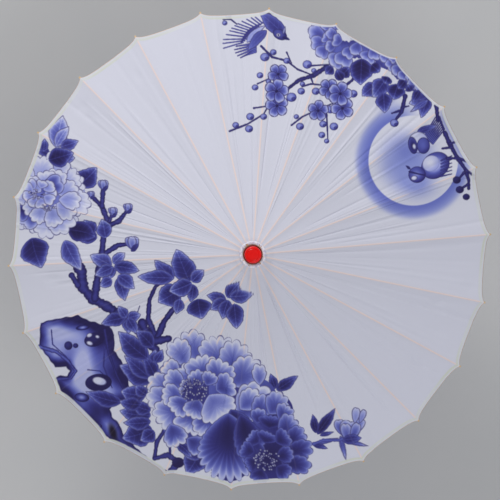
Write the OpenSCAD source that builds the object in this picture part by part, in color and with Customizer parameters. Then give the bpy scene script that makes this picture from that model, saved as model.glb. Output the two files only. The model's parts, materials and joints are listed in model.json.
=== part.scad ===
// Oil paper umbrella, shown open, with its shaft upright on the Z axis.
// The origin is on the shaft's axis, at the middle of the handle. All sizes are in millimetres.

/* [Canopy] */
// Radius of the open canopy, from the shaft's axis to the rib tips
canopy_r = 420; // [405:1:430]
// Angle between the shaft and a rib when the umbrella is open, in degrees
open_angle = 68; // [66:0.5:69]
// Thickness of the canopy cloth
cloth_t = 0.4; // [0.3:0.1:0.6]
// How far the edge of each panel curves in between two rib tips
rim_bow = 5; // [2:1:10]
// How far each panel sags in the middle, at its outer edge
panel_sag = 3; // [0:0.5:6]

/* [Ribs] */
// Height of the rib hinges above the middle of the handle
pivot_z = 478; // [473:1:488]
// Radius of the ring that the ribs hinge on
pivot_r = 16.5; // [16.5:0.1:17.5]
// Width of a rib
rib_w = 4; // [3.6:0.1:4.2]
// Distance along a rib from its hinge to the stretcher joint
joint_at = 185; // [182:1:188]

/* [Stretchers] */
// Distance between the two hinges of a stretcher
stretcher_len = 200; // [198:1:204]
// Radius of the ring that the stretchers hinge on
runner_pivot_r = 13; // [13:0.1:13.6]

/* [Shaft and handle] */
// Radius of the wooden shaft
shaft_r = 6; // [5.8:0.1:6]
// Radius of the handle grip
grip_r = 11; // [10:0.5:13]
// Length of the handle, with its end cap
grip_len = 84; // [78:1:86]

/* [Cap] */
// Radius of the cap's body
cap_r = 14.4; // [13.5:0.1:15]
// Height of the cap above the collar
cap_h = 17; // [14:1:24]

/* [Hidden] */
$fn = 64;
rib_count = 22;
step_angle = 360 / rib_count;
first_rib = step_angle / 2;
function two_digits(i) = str(i < 10 ? "0" : "", i);
rib_names = [for (i = [1:rib_count]) str("rib_", two_digits(i))];
stretcher_names = [for (i = [1:rib_count]) str("stretcher_", two_digits(i))];

// rib: its hinge axis is s = 0, and n is measured outwards from the line through both hinges
rib_len = (canopy_r - pivot_r) / sin(open_angle);
rib_top = 2;
rib_deep = 2.4;
rib_tip_deep = 1.4;
rib_head_w = 2.6;
rib_tip_w = 3;
rib_eye_r = 2.6;
rib_hole_r = 0.8;
rib_slot_w = 2;
rib_slot_back = 5.4;
rib_slot_len = 48;
rib_head_len = 8;
rib_full_from = 14;
rib_taper_len = 60;
rib_nose = 1.5;
rib_nose_low = 0.4;
rib_nose_top = 0.6;
tip_hole_at = 5;
tip_hole_r = 0.6;
pin_r = 0.7;

// stretcher
stretcher_end_w = 1.7;
stretcher_mid_w = 3;
stretcher_end_len = 62;
stretcher_step_len = 6;
stretcher_half_h = 2;
stretcher_top_half_h = 1.5;
stretcher_foot_half_h = 1.7;
stretcher_thin_top = 50;
stretcher_thin_foot = 24;
stretcher_eye_r = 1.9;
stretcher_foot_r = 2.2;
stretcher_hole_r = 0.8;

// linkage in the open position
joint_r = pivot_r + joint_at * sin(open_angle);
joint_z = pivot_z - joint_at * cos(open_angle);
stretcher_angle = asin((joint_r - runner_pivot_r) / stretcher_len);
runner_z = joint_z - stretcher_len * cos(stretcher_angle);

// hubs
wire_r = 0.45;
wire_groove_r = 0.5;
notch_r = 20.2;
notch_below = 8;
notch_above = 13;
notch_slot_w = 3;
notch_slot_r = 13.2;
notch_slot_above = 3.4;
runner_r = 17.5;
runner_half = 7;
runner_sleeve_r = 9;
runner_sleeve_len = 31;
runner_ring_r = 10;
runner_ring_h = 3;
runner_slot_w = 2.2;
runner_slot_r = 10.2;
runner_clearance = 0.1;
runner_bottom = runner_z - runner_half - runner_sleeve_len;

// collar and cap
collar_t = 0.7;
collar_r = 22.6;
collar_bottom = pivot_z + 1.6;
collar_top = pivot_z + notch_above + collar_t;
collar_mouth_r = 16.8;
cap_flange_r = 16;
cap_flange_h = 2.6;
cap_flat_r = 10.2;
cap_shoulder_r = 3.1;
cap_bore_h = 9;

// handle, shaft, latch and pins
foot_z = -grip_len / 2;
end_cap_h = 7;
end_cap_round = 2.5;
groove_deep = 1.2;
groove_half = 1.5;
low_groove_at = 20.5;
high_groove_at = 9.5;
grip_shoulder = 6;
grip_mouth = 1.4;
plug_r = 4;
plug_h = 12;
shaft_bottom = foot_z + plug_h + 2;
shaft_top = pivot_z + notch_above + cap_bore_h;
latch_w = 2;
latch_slot_w = 2.4;
latch_len = 54;
latch_reach = 2.8;
latch_gap = 0.5;
latch_slot_deep = 3.4;
latch_slot_below = 4;
latch_slot_above = 1.5;
latch_eye_r = 2.4;
latch_bend_below = 26;
latch_head_h = 4;
latch_head_w = 2.2;
latch_play = 0.05;
latch_top = runner_bottom - latch_gap;
latch_foot = latch_top - latch_len;
latch_pin_r = 1;
stop_pin_r = 1;
stop_pin_len = 18;
stop_pin_z = runner_z + runner_half + stop_pin_r + 0.3;

// canopy: the stations along the ribs where the cloth is drawn
cloth_lift = rib_top + 0.4;
cloth_start = 6;
cloth_end = rib_len - 3;
cloth_steps = 8;
thread_r = 0.3;
thread_sides = 8;

// a profile drawn along a bar (x) and across its depth (y), given a width about the bar's middle plane
module bar_side(width) {
    rotate([90, 0, 0]) linear_extrude(width, center = true) children();
}

// a round hole or pin across a bar, at x along it
module across(x, r, width) {
    translate([x, 0, 0]) rotate([90, 0, 0]) cylinder(h = width, r = r, center = true);
}

// moves a bar from the drawing position to its place on rib line i
module at_rib(i) {
    rotate([0, 0, first_rib + (i - 1) * step_angle])
        translate([pivot_r, 0, pivot_z]) rotate([0, 90 - open_angle, 0]) children();
}

module rib_outline() {
    circle(r = rib_eye_r);
    polygon([[0, rib_top], [0, -rib_deep], [joint_at + rib_slot_len, -rib_deep],
             [rib_len - rib_nose, -rib_tip_deep], [rib_len, -rib_nose_low], [rib_len, rib_top - rib_nose_top],
             [rib_len - rib_nose_top, rib_top]]);
}

module rib_plan() {
    w = rib_w / 2;
    h = rib_head_w / 2;
    t = rib_tip_w / 2;
    taper = rib_len - rib_taper_len;
    polygon([[-rib_eye_r - 1, -h], [rib_head_len, -h], [rib_full_from, -w], [taper, -w], [rib_len + 1, -t],
             [rib_len + 1, t], [taper, w], [rib_full_from, w], [rib_head_len, h], [-rib_eye_r - 1, h]]);
}

module rib(i) {
    at_rib(i) {
        color("burlywood") difference() {
            intersection() {
                bar_side(rib_w + 1) rib_outline();
                linear_extrude(3 * rib_w, center = true) rib_plan();
            }
            across(0, rib_hole_r, 2 * rib_w);
            across(joint_at, pin_r, 2 * rib_w);
            across(rib_len - tip_hole_at, tip_hole_r, 2 * rib_w);
            translate([joint_at - rib_slot_back, -rib_slot_w / 2, -2 * rib_deep])
                cube([rib_slot_len, rib_slot_w, 4 * rib_deep]);
        }
        color("silver") across(joint_at, pin_r, rib_w + 0.6);
    }
}

module stretcher_outline() {
    circle(r = stretcher_eye_r);
    translate([stretcher_len, 0]) circle(r = stretcher_foot_r);
    thin = stretcher_len - stretcher_thin_foot;
    polygon([[0, -stretcher_top_half_h], [stretcher_thin_top, -stretcher_half_h], [thin, -stretcher_half_h],
             [stretcher_len, -stretcher_foot_half_h], [stretcher_len, stretcher_foot_half_h],
             [thin, stretcher_half_h], [stretcher_thin_top, stretcher_half_h], [0, stretcher_top_half_h]]);
}

module stretcher_plan() {
    e = stretcher_end_w / 2;
    m = stretcher_mid_w / 2;
    near = stretcher_end_len;
    far = stretcher_len - stretcher_end_len;
    step = stretcher_step_len;
    tip = stretcher_len + stretcher_foot_r + 1;
    polygon([[-stretcher_eye_r - 1, -e], [near - step, -e], [near, -m], [far, -m], [far + step, -e],
             [tip, -e], [tip, e], [far + step, e], [far, m], [near, m], [near - step, e],
             [-stretcher_eye_r - 1, e]]);
}

// the foot is an open hook on the side of the shaft, so the ring wire can leave it and come back
module hook_mouth() {
    polygon([[0.8, 0], [0.8, -4], [-17, -4], [-13, -1.7], [-5.6, 0], [0, 0.8]]);
}

module stretcher(i) {
    color("wheat") rotate([0, 0, first_rib + (i - 1) * step_angle])
        translate([joint_r, 0, joint_z]) rotate([0, 90 + stretcher_angle, 0]) difference() {
            intersection() {
                bar_side(stretcher_mid_w + 1) stretcher_outline();
                linear_extrude(3 * stretcher_mid_w, center = true) stretcher_plan();
            }
            across(0, stretcher_hole_r, 2 * stretcher_mid_w);
            across(stretcher_len, stretcher_hole_r, 2 * stretcher_mid_w);
            translate([stretcher_len, 0, 0]) bar_side(2 * stretcher_mid_w) hook_mouth();
        }
}

module wire_ring(major, minor, z) {
    translate([0, 0, z]) rotate_extrude() translate([major, 0]) circle(r = minor);
}

module slots(inner, width, low, high) {
    for (i = [1:rib_count])
        rotate([0, 0, first_rib + (i - 1) * step_angle])
            translate([inner, -width / 2, low]) cube([runner_r + notch_r, width, high - low]);
}

module top_notch() {
    color("wheat") difference() {
        translate([0, 0, pivot_z - notch_below]) cylinder(h = notch_below + notch_above, r = notch_r);
        translate([0, 0, pivot_z - notch_below - 1]) cylinder(h = notch_below + notch_above + 2, r = shaft_r);
        slots(notch_slot_r, notch_slot_w, pivot_z - notch_below - 1, pivot_z + notch_slot_above);
        wire_ring(pivot_r, wire_groove_r, pivot_z);
    }
}

module notch_wire() {
    color("silver") wire_ring(pivot_r, wire_r, pivot_z);
}

module runner_body() {
    translate([0, 0, runner_z - runner_half]) cylinder(h = 2 * runner_half, r = runner_r);
    translate([0, 0, runner_bottom]) cylinder(h = runner_sleeve_len + 1, r = runner_sleeve_r);
    translate([0, 0, runner_bottom]) cylinder(h = runner_ring_h, r = runner_ring_r);
}

module runner() {
    bore_h = 2 * runner_half + runner_sleeve_len + 2;
    color("wheat") difference() {
        runner_body();
        translate([0, 0, runner_bottom - 1]) cylinder(h = bore_h, r = shaft_r + runner_clearance);
        slots(runner_slot_r, runner_slot_w, runner_z - runner_half - 1, runner_z + runner_half + 1);
        wire_ring(runner_pivot_r, wire_groove_r, runner_z);
    }
}

module runner_wire() {
    color("silver") wire_ring(runner_pivot_r, wire_r, runner_z);
}

module shaft() {
    color("tan") difference() {
        translate([0, 0, shaft_bottom]) cylinder(h = shaft_top - shaft_bottom, r = shaft_r);
        translate([-latch_slot_deep, -latch_slot_w / 2, latch_foot - latch_slot_below])
            cube([2 * shaft_r, latch_slot_w, latch_len + latch_slot_below + latch_slot_above]);
        translate([0, 0, latch_foot]) rotate([90, 0, 0])
            cylinder(h = 3 * shaft_r, r = latch_pin_r, center = true);
        translate([0, 0, stop_pin_z]) rotate([90, 0, 0])
            cylinder(h = 3 * shaft_r, r = stop_pin_r, center = true);
    }
}

// a springy steel catch: it stands out of the shaft's slot under the runner, and is pressed in to let it down
module latch_spring() {
    out = shaft_r + latch_reach;
    bend = latch_top - latch_bend_below;
    head = out - latch_head_w;
    color("silver") difference() {
        bar_side(latch_w) union() {
            translate([0, latch_foot]) circle(r = latch_eye_r);
            polygon([[-1, latch_foot], [2, latch_foot], [5.4, bend], [out, latch_top - latch_head_h],
                     [out, latch_top], [head, latch_top], [head - 0.2, latch_top - latch_head_h - 1],
                     [3.6, bend]]);
        }
        translate([0, 0, latch_foot]) rotate([90, 0, 0])
            cylinder(h = 2 * latch_w, r = latch_pin_r + latch_play, center = true);
    }
}

module latch_pin() {
    color("silver") translate([0, 0, latch_foot]) rotate([90, 0, 0])
        cylinder(h = 2 * shaft_r - 0.4, r = latch_pin_r, center = true);
}

module stop_pin() {
    color("silver") translate([0, 0, stop_pin_z]) rotate([90, 0, 0])
        cylinder(h = stop_pin_len, r = stop_pin_r, center = true);
}

module handle_grip() {
    top = grip_len / 2;
    color("peru") rotate_extrude() difference() {
        polygon([[0, foot_z + end_cap_h], [grip_r, foot_z + end_cap_h],
                 [grip_r, top - low_groove_at - groove_half], [grip_r - groove_deep, top - low_groove_at],
                 [grip_r, top - low_groove_at + groove_half], [grip_r, top - high_groove_at - groove_half],
                 [grip_r - groove_deep, top - high_groove_at], [grip_r - 1, top - grip_shoulder],
                 [shaft_r + grip_mouth, top], [0, top]]);
        translate([-1, shaft_bottom]) square([shaft_r + 1, grip_len]);
        translate([-1, foot_z]) square([plug_r + 1, plug_h + 1]);
    }
}

module handle_end_cap() {
    color("red") translate([0, 0, foot_z]) rotate_extrude() union() {
        square([grip_r - end_cap_round, end_cap_h]);
        translate([0, end_cap_round]) square([grip_r, end_cap_h - end_cap_round]);
        intersection() {
            translate([grip_r - end_cap_round, end_cap_round]) circle(r = end_cap_round);
            square([grip_r, end_cap_h]);
        }
        square([plug_r, plug_h]);
    }
}

module collar() {
    color("white") rotate_extrude() union() {
        translate([collar_r - collar_t, collar_bottom]) square([collar_t, collar_top - collar_bottom]);
        translate([collar_mouth_r, collar_top - collar_t]) square([collar_r - collar_mouth_r, collar_t]);
    }
}

module top_cap() {
    low = pivot_z + notch_above;
    top = collar_top + cap_h;
    neck_r = cap_r - 0.6;
    color("red") rotate_extrude() difference() {
        union() {
            translate([0, low]) square([cap_flange_r, cap_flange_h]);
            polygon([[0, low], [cap_r, low], [neck_r, top - cap_shoulder_r], [cap_flat_r, top], [0, top]]);
            translate([neck_r - cap_shoulder_r, top - cap_shoulder_r - 0.2]) circle(r = cap_shoulder_r);
        }
        translate([-1, low - 1]) square([shaft_r + 1, cap_bore_h + 1]);
    }
}

// a point of the cloth: k counts half panels, s runs along the ribs, n is the height over them
function on_rib(a, s, n) = [
    (pivot_r + s * sin(open_angle) + n * cos(open_angle)) * cos(a),
    (pivot_r + s * sin(open_angle) + n * cos(open_angle)) * sin(a),
    pivot_z - s * cos(open_angle) + n * sin(open_angle)];
function panel_middle(a, s, n) =
    let (sag = panel_sag * s / rib_len,
         left = on_rib(a - step_angle / 2, s, n - sag),
         right = on_rib(a + step_angle / 2, s, n - sag))
    (left + right) / 2;
function cloth_point(k, share, n) =
    let (a = first_rib + k * step_angle / 2,
         middle = k % 2 == 1,
         end = cloth_end - (middle ? rim_bow : 0),
         s = cloth_start + share * (end - cloth_start))
    middle ? panel_middle(a, s, n) : on_rib(a, s, n);

// the cloth is a closed ring of cells: round the canopy (i), along the ribs on top and back underneath (j)
module canopy() {
    round_n = 2 * rib_count;
    along = cloth_steps + 1;
    loop = 2 * along;
    top = cloth_lift + cloth_t;
    function row(j) = j < along
        ? [j / cloth_steps, top]
        : [(loop - 1 - j) / cloth_steps, cloth_lift];
    points = [for (i = [0:round_n - 1]) for (j = [0:loop - 1]) cloth_point(i, row(j)[0], row(j)[1])];
    faces = [for (i = [0:round_n - 1]) for (j = [0:loop - 1])
        let (i2 = (i + 1) % round_n,
             j2 = (j + 1) % loop,
             a = i * loop + j,
             b = i2 * loop + j,
             c = i2 * loop + j2,
             d = i * loop + j2)
        for (f = i % 2 == 0 ? [[a, b, c], [a, c, d]] : [[a, b, d], [b, c, d]]) f];
    color("white") polyhedron(points, faces, convexity = 10);
}

// one thread through the holes in all the rib tips
module rim_thread() {
    points = [for (i = [0:rib_count - 1]) for (j = [0:thread_sides - 1])
        let (a = first_rib + i * step_angle, b = j * 360 / thread_sides,
             s = rib_len - tip_hole_at)
        [(pivot_r + s * sin(open_angle) + thread_r * cos(b)) * cos(a),
         (pivot_r + s * sin(open_angle) + thread_r * cos(b)) * sin(a),
         pivot_z - s * cos(open_angle) + thread_r * sin(b)]];
    faces = [for (i = [0:rib_count - 1]) for (j = [0:thread_sides - 1])
        let (i2 = (i + 1) % rib_count, j2 = (j + 1) % thread_sides,
             a = i * thread_sides + j, b = i2 * thread_sides + j,
             c = i2 * thread_sides + j2, d = i * thread_sides + j2)
        for (f = [[a, d, b], [b, d, c]]) f];
    color("ivory") polyhedron(points, faces, convexity = 4);
}

shaft();
handle_grip();
handle_end_cap();
top_notch();
notch_wire();
top_cap();
collar();
canopy();
rim_thread();
runner();
runner_wire();
latch_spring();
latch_pin();
stop_pin();
for (i = [1:rib_count]) {
    rib(i);
    stretcher(i);
}
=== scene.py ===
"""Looks of the oil paper umbrella: printed cloth, bamboo, wood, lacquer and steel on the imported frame.

Lengths are metres. The print is laid out in print units: one unit is one hundredth of the
open canopy's radius, x to the right and y up as the umbrella is seen from above.
"""
import json
import math
import bpy
import numpy as np
from mathutils import Matrix, Vector


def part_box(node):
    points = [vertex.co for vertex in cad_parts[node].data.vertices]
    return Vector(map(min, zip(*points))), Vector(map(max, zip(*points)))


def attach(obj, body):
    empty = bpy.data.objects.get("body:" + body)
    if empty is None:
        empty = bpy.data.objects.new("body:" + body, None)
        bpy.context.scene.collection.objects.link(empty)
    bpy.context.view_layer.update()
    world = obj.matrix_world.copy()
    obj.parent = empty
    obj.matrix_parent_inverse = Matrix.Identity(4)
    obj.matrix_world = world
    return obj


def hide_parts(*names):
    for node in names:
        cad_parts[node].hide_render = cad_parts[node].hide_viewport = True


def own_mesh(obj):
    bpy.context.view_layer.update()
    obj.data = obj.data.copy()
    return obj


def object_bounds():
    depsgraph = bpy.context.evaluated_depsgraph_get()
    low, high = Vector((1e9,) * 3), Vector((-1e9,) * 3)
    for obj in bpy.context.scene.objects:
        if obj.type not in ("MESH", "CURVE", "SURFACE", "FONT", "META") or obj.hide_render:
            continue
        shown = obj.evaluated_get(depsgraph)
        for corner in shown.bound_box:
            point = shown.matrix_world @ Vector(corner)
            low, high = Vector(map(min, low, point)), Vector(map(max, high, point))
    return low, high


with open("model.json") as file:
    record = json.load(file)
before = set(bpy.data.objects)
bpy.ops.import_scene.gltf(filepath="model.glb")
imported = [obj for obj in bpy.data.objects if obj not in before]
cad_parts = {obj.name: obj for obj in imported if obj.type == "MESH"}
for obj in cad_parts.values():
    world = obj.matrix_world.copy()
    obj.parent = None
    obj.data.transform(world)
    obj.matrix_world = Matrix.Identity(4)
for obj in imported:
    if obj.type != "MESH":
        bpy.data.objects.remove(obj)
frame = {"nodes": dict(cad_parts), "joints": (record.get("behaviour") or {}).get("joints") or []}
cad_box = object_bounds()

TAU = 2 * math.pi

# ---------------- sizes, from the frame and the CAD part
RIBS = 22
STEP = TAU / RIBS
ACROSS = math.sin(STEP / 2)
OPEN = math.radians(68)             # angle between shaft and rib, open
CANOPY_R = 0.420
PANEL_SAG = 0.004                   # how deep a panel's middle hangs at the rim
RIM_BOW = 0.005                     # how far the rim curves in between two ribs
EAR_POWER = 7                       # how sharply it comes out again at a rib's tip
CLOTH_START = 0.0047                # along the rib, from its hinge
CLOTH_END = 0.4322
CLOTH_LIFT = 0.0024                 # over the rib's middle line
HUB_LIFT = 0.0014                   # and higher again beside the hub, so that it clears the hub when closed
HUB_LIFT_FROM = 0.009
HUB_LIFT_LEN = 0.012
STRIP_HALF = 0.0024                 # half width of the cloth that is glued to a rib
RIDGE_LIFT = 0.0003                 # how far the cloth stands up over a rib's middle
HEM = 0.008
HEM_UNDER = 0.0005                  # how far the folded edge lies under the cloth
FINE = 0.00115                      # size of the cloth's faces where there is print
COARSE = 0.0034                     # and where there is none
FINE_FROM = 0.060                   # the print starts further out than this
PLAIN_PANELS = (6, 7, 19, 20, 21)   # panels with no fine print

ribs = sorted((j for j in frame["joints"] if j["name"].startswith("rib_")), key=lambda j: j["name"])
rib_hinges = [Vector(j["pos_m"]) for j in ribs]
FIRST_RIB = math.atan2(rib_hinges[0].y, rib_hinges[0].x)
PIVOT_R = math.hypot(rib_hinges[0].x, rib_hinges[0].y)
PIVOT_Z = rib_hinges[0].z


def smooth(t):
    t = np.clip(t, 0, 1)
    return t * t * (3 - 2 * t)


# ---------------- the print, painted on a flat grid of cells
CELL = 0.15                         # print units
SPAN = 101.0                        # the grid goes this far to each side of the middle
SIDE = int(2 * SPAN / CELL)         # cells
WHITE = np.array((207, 208, 221)) / 255
INKS = np.array(((40, 34, 80), (56, 54, 124), (88, 94, 174), (148, 155, 213), (204, 206, 226))) / 255
LINE = np.array((50, 46, 104)) / 255  # outlines of petals and leaves
HALO = np.array((92, 102, 184)) / 255
WASH = np.array((134, 144, 206)) / 255
BLACK = np.array((34, 28, 48)) / 255

canvas = np.empty((SIDE, SIDE, 3))
canvas[:] = WHITE
middle_of = (np.arange(SIDE) + 0.5) * CELL - SPAN


def window(x0, x1, y0, y1):
    """The part of the canvas between these limits, and its cells' x and y."""
    c0, c1 = (max(0, int((v + SPAN) / CELL)) for v in (x0, x1))
    r0, r1 = (max(0, int((v + SPAN) / CELL)) for v in (y0, y1))
    part = (slice(r0, r1 + 1), slice(c0, c1 + 1))
    x, y = np.meshgrid(middle_of[part[1]], middle_of[part[0]])
    return part, x, y


def lay(part, colour, cover):
    """Lays a colour on part of the canvas; cover goes from 0, none, to 1, full."""
    canvas[part] += (colour - canvas[part]) * np.clip(cover, 0, 1)[..., None]


def shade(f):
    """Ink colours from the darkest, 0, to the palest, 1."""
    at = np.clip(f, 0, 1) * (len(INKS) - 1)
    return np.stack([np.interp(at, range(len(INKS)), INKS[:, c]) for c in range(3)], -1)


def petal(base, tip, width, core, edge=None, leaf=False, bend=0.0, lobes=0, phase=0.0, line=0.8):
    """One leaf (pointed) or petal (round, with lobes on its rim), dark at its foot and paler to its rim."""
    edge = core + (0.78 if leaf else 0.62) if edge is None else edge
    (bx, by), (tx, ty) = base, tip
    length = math.hypot(tx - bx, ty - by)
    cx, cy = (tx - bx) / length, (ty - by) / length
    pad = width * 0.62 + abs(bend) * length + 1
    part, x, y = window(min(bx, tx) - pad, max(bx, tx) + pad, min(by, ty) - pad, max(by, ty) + pad)
    v = ((x - bx) * cx + (y - by) * cy) / length
    u = -(x - bx) * cy + (y - by) * cx
    u = u - bend * length * 4 * v * (1 - v)
    if lobes:
        turn = np.arctan2(u, (v - 0.42) * length)
        rim = 0.87 + 0.11 * np.abs(np.sin(turn * lobes / 2 + phase)) ** 0.8
        rim = rim + 0.02 * np.sin(turn * 3 + 2 * phase)
        v, u = v / rim, u / rim
    w = np.clip(v, 0, 1)
    if leaf:
        half = width / 2 * np.sin(math.pi * w ** 0.8) ** 0.85
        notches = 0.1 * w * np.abs(np.sin(17 * w + tx))
        half = half * (1 + 0.13 * w * np.sin(9 * w + bx + np.sign(u)) - notches)
    else:
        half = width / 2 * np.where(w < 0.6, np.sin(math.pi / 2 * w / 0.6) ** 0.75,
                                    np.sqrt(np.clip(1 - ((w - 0.6) / 0.4) ** 2, 0, 1)))
    near = half - np.abs(u)
    inside = (v > 0) & (v < 1)
    cover = np.where(inside, np.clip(near / CELL + 0.5, 0, 1), 0)
    depth = np.minimum(near, (1 - w) * length * 0.8)
    rim = np.exp(-np.clip(depth, 0, None) / ((0.09 if leaf else 0.15) * width + 0.2))
    f = np.clip(0.9 * rim + (0.3 if leaf else 0.5) * smooth(w) ** 1.6 - 0.1, 0, 1)
    if leaf:
        veins = np.abs(((w * 6 - np.abs(u) / width * 2.6) % 1) - 0.5)
        f = f + 0.28 * np.exp(-(u / 0.16) ** 2) + 0.16 * smooth((0.1 - veins) / 0.1)
    else:
        f = f + 0.04 * np.sin(u / width * 16 + phase * 3) * w
    colour = shade(core + (edge - core) * f)
    drawn = line * np.clip(1.35 - np.clip(depth, 0, None) / 0.42, 0, 1)
    colour = colour + (LINE - colour) * drawn[..., None]
    lay(part, colour, cover)


def stroke(points, wide, thin=None, tone=0.02, rough=0.1, light=0.2):
    """A branch or a twig along a line of points, lighter in its middle, with knots."""
    thin = wide * 0.6 if thin is None else thin
    p = np.array(points, float)
    pad = wide + 1
    part, x, y = window(p[:, 0].min() - pad, p[:, 0].max() + pad, p[:, 1].min() - pad, p[:, 1].max() + pad)
    run = np.concatenate([[0], np.cumsum(np.hypot(*np.diff(p, axis=0).T))])
    best = np.full(x.shape, -9.0)
    for a, b, ra, rb in zip(p[:-1], p[1:], run[:-1], run[1:]):
        d = b - a
        t = np.clip(((x - a[0]) * d[0] + (y - a[1]) * d[1]) / (d @ d), 0, 1)
        s = ra + t * (rb - ra)
        half = (wide + (thin - wide) * s / run[-1]) / 2
        knots = np.sin(s * 0.9 + 3) + 0.6 * np.sin(s * 2.3 + a[0]) + 0.5 * np.sin(s * 4.1 + a[1])
        half = half * (1 + rough * knots)
        best = np.maximum(best, half - np.hypot(x - a[0] - t * d[0], y - a[1] - t * d[1]))
    f = tone + light * smooth(best / wide * 2.4)
    lay(part, shade(f), np.clip(best / CELL + 0.5, 0, 1))


def disc(x0, y0, rx, ry=None, turn=0.0, core=0.5, edge=0.2, light=(-0.3, 0.3), line=0.85):
    """An oval with an outline, paler to the side that light points to."""
    ry = rx if ry is None else ry
    r = max(rx, ry)
    part, x, y = window(x0 - r - 1, x0 + r + 1, y0 - r - 1, y0 + r + 1)
    c, s = math.cos(math.radians(turn)), math.sin(math.radians(turn))
    a, b = ((x - x0) * c + (y - y0) * s) / rx, (-(x - x0) * s + (y - y0) * c) / ry
    q = np.hypot(a, b)
    f = core + (edge - core) * smooth(q) + 0.3 * ((x - x0) * light[0] + (y - y0) * light[1]) / r
    colour = shade(f)
    depth = (1 - q) * min(rx, ry)
    drawn = line * np.clip(1 - np.clip(depth, 0, None) / 0.4, 0, 1)
    colour = colour + (INKS[0] - colour) * drawn[..., None]
    lay(part, colour, np.clip(depth / CELL + 0.5, 0, 1))


def bud(x, y, r):
    disc(x, y, r * 1.1, r, core=0.72, edge=0.5, light=(-0.35, 0.4))
    disc(x + r * 0.45, y - r * 0.35, r * 0.5, r * 0.4, core=0.35, edge=0.25, line=0.4)


def blossom(x, y, r, turn):
    r = r * 1.18
    for i in range(5):
        a = turn + i * TAU / 5
        petal((x, y), (x + r * math.cos(a), y + r * math.sin(a)), r * 0.86, 0.3, 0.98, phase=i, line=1)
    for i in range(9):
        a = i * TAU / 9
        stroke([(x, y), (x + 0.34 * r * math.cos(a), y + 0.34 * r * math.sin(a))], 0.3, 0.2, rough=0)
    disc(x, y, r * 0.12, core=0.02, edge=0.0, line=0)


def stamens(x, y, rx, ry, count, seed):
    """A ring of pale dots on dark threads."""
    rng = np.random.default_rng(seed)
    for _ in range(count):
        a, q = rng.uniform(0, TAU), rng.uniform(0.12, 1) ** 0.6
        px, py = x + rx * q * math.cos(a), y + ry * q * math.sin(a)
        stroke([(x + (px - x) * 0.7, y + (py - y) * 0.7), (px, py)], 0.42, 0.32, tone=0.05, rough=0)
        disc(px, py, rng.uniform(0.34, 0.5), core=0.97, edge=0.9, line=0.75)


def discs(rows):
    for x, y, rx, ry, turn, core, edge in rows:
        disc(x, y, rx, ry, turn, core=core, edge=edge)


def grounds(rows, core, edge):
    """Soft ovals without an outline, as a ground under petals."""
    for x, y, rx, ry in rows:
        disc(x, y, rx, ry, core=core, edge=edge, line=0)


RING_FOOT = 0.3                     # where a ring's petals start, as a share of its radius


def ring_of_petals(x, y, rx, ry, count, width, core, edge, seed, lobes, start=0.0):
    rng = np.random.default_rng(seed)
    for i in range(count):
        a = start + (i + rng.uniform(-0.22, 0.22)) * TAU / count
        q = rng.uniform(0.88, 1.08)
        tip = (x + rx * q * math.cos(a), y + ry * q * math.sin(a))
        base = (x + rx * RING_FOOT * math.cos(a), y + ry * RING_FOOT * math.sin(a))
        petal(base, tip, width * rng.uniform(0.85, 1.2), core, edge, lobes=lobes, phase=rng.uniform(0, 6),
              bend=rng.uniform(-0.06, 0.06))


def outline(points, x, y):
    """How deep each place is inside a closed outline; below 0 outside it."""
    p = np.array(points, float)
    inside = np.zeros(x.shape, bool)
    depth = np.full(x.shape, 1e9)
    for a, b in zip(p, np.roll(p, -1, 0)):
        d = b - a
        t = np.clip(((x - a[0]) * d[0] + (y - a[1]) * d[1]) / (d @ d), 0, 1)
        depth = np.minimum(depth, np.hypot(x - a[0] - t * d[0], y - a[1] - t * d[1]))
        if d[1]:
            crosses = (a[1] > y) != (b[1] > y)
            inside ^= crosses & (x < a[0] + (y - a[1]) / d[1] * d[0])
    return np.where(inside, depth, -depth)


MOON = (67.4, 37.0, 18.7)            # middle and radius
HALO_FROM = 78                      # degrees; the wash lies round the moon from here
HALO_TO = 372                       # to here


def paint_moon():
    x0, y0, r = MOON
    part, x, y = window(x0 - 2 * r, x0 + 2 * r, y0 - 2 * r, y0 + 2 * r)
    q = np.hypot(x - x0, y - y0) / r
    turn = np.degrees(np.arctan2(y - y0, x - x0)) % 360
    around = smooth((turn - HALO_FROM) / 45) * smooth((HALO_TO - turn) / 35)
    outside = smooth((q - 0.985) / 0.02)
    lay(part, WASH, around * outside * np.exp(-(np.clip(q - 1, 0, None) / 0.27) ** 6) * 0.9)
    lay(part, HALO, around * outside * np.exp(-(np.clip(q - 1, 0, None) / 0.17) ** 2) * 0.75)
    body = smooth((1.0 - q) / 0.02)
    soft = np.exp(-(((x - 65) / 11.5) ** 2 + ((y - 36.5) / 11.5) ** 2) ** 2)
    soft = soft + 0.7 * np.exp(-(((x - 70) / 7) ** 2 + ((y - 26) / 5) ** 2))
    lay(part, WASH, body * np.clip(soft, 0, 1) * 0.95)
    lay(part, HALO, body * np.exp(-(((x - 64.5) / 4.5) ** 2 + ((y - 41) / 5) ** 2)) * 0.45)
    strip = np.exp(-((x - 86.5 + (y - 44) * 0.5) / 3.2) ** 2) * smooth((y - 33) / 8) * smooth((60 - y) / 8)
    lay(part, HALO, strip * 0.7)
    lay(part, INKS[3], 0.5 * np.exp(-((x - 57) / 4) ** 2 - ((y - 60) / 4) ** 2))


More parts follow.
